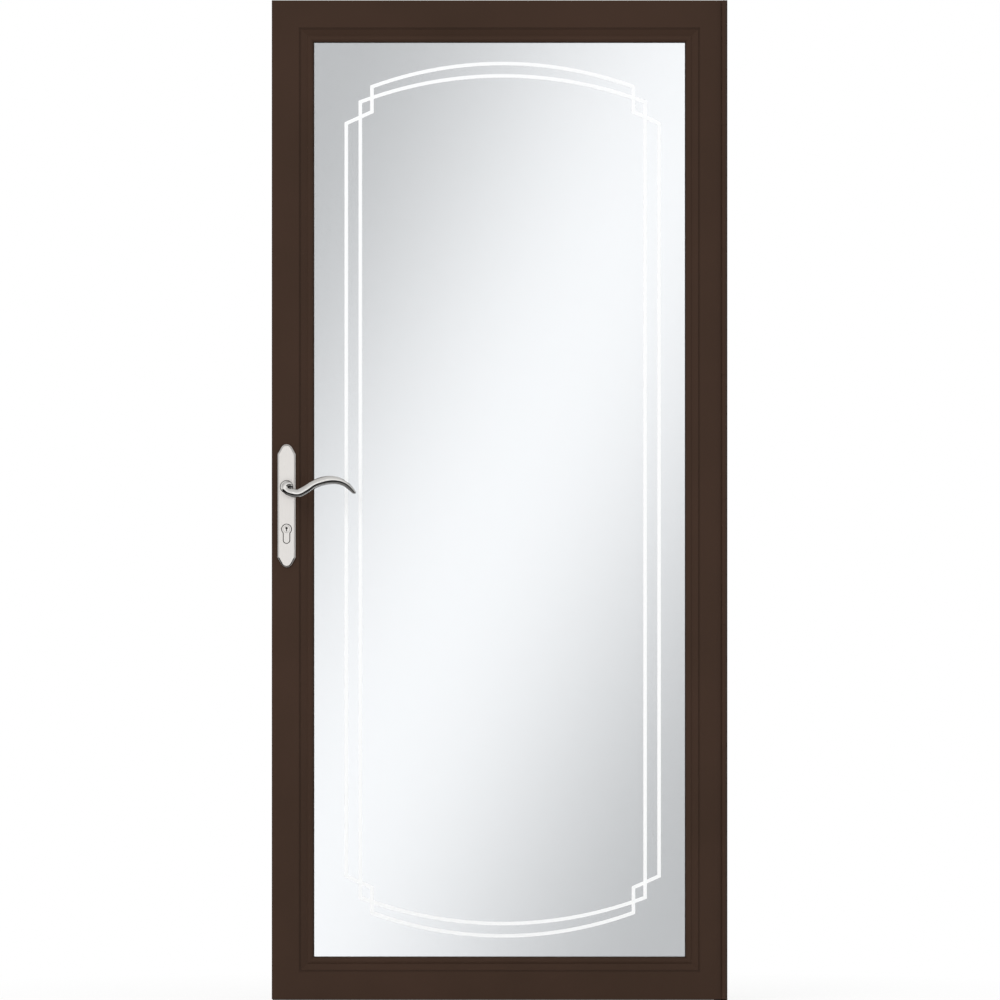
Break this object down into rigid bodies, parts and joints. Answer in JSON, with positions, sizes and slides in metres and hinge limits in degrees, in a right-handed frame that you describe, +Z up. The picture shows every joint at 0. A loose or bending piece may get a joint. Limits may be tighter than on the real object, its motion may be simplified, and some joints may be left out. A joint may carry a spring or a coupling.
{
  "type": "storm door",
  "caption": "Full-view aluminium storm door: mitred brown frame round etched glass, wave lever lock on a long plate, continuous hinge on a jamb bar; leaf swings outwards.",
  "frame": {"origin": "on the outer face of the hinge-side jamb bar, at sill level, in the middle of its depth", "axes": "+Z up, +X out of the bar towards the jamb, -Y to the outside of the house"},
  "size_m": [0.914, 0.16, 2.01],
  "materials": {
    "brown_aluminium": "satin",
    "black_vinyl": "matte",
    "steel": "satin",
    "satin_nickel": "satin",
    "glass": "polished"
  },
  "bodies": {
    "jamb": {"hinge_jamb_bar": "brown_aluminium", "jamb_stop_leg": "brown_aluminium", "jamb_seal": "black_vinyl", "jamb_hinge_strip": "brown_aluminium", "hinge_pin": "steel"},
    "leaf": {"latch_stile": "brown_aluminium", "top_rail": "brown_aluminium", "hinge_stile": "brown_aluminium", "bottom_rail": "brown_aluminium", "latch_insert_moulding": "brown_aluminium", "top_insert_moulding": "brown_aluminium", "hinge_insert_moulding": "brown_aluminium", "bottom_insert_moulding": "brown_aluminium", "glass_pane": "glass", "glazing_vinyl": "black_vinyl", "latch_retainer": "brown_aluminium", "top_retainer": "brown_aluminium", "hinge_retainer": "brown_aluminium", "bottom_retainer": "brown_aluminium", "bottom_expander": "brown_aluminium", "door_sweep": "black_vinyl", "door_hinge_strip": "brown_aluminium", "lock_case": "steel", "lock_faceplate": "steel", "latch_bolt": "steel", "dead_bolt": "steel", "lock_cylinder": "satin_nickel", "outside_escutcheon": "satin_nickel", "inside_escutcheon": "satin_nickel"},
    "lever": {"outside_lever": "satin_nickel", "inside_lever": "satin_nickel", "spindle": "steel"}
  },
  "joints": [
    {"name": "leaf_swing", "type": "hinge", "parent": "jamb", "child": "leaf", "pos_m": [-0.007, -0.026, 1.008], "axis": [0, 0, 1], "range_deg": [0, 110]},
    {"name": "lever_turn", "type": "hinge", "parent": "leaf", "child": "lever", "pos_m": [-0.8842, -0.024, 1.034], "axis": [0, 1, 0], "range_deg": [0, 40], "stiffness_Nm_per_rad": 1.5, "springref_deg": -22.92}
  ]
}
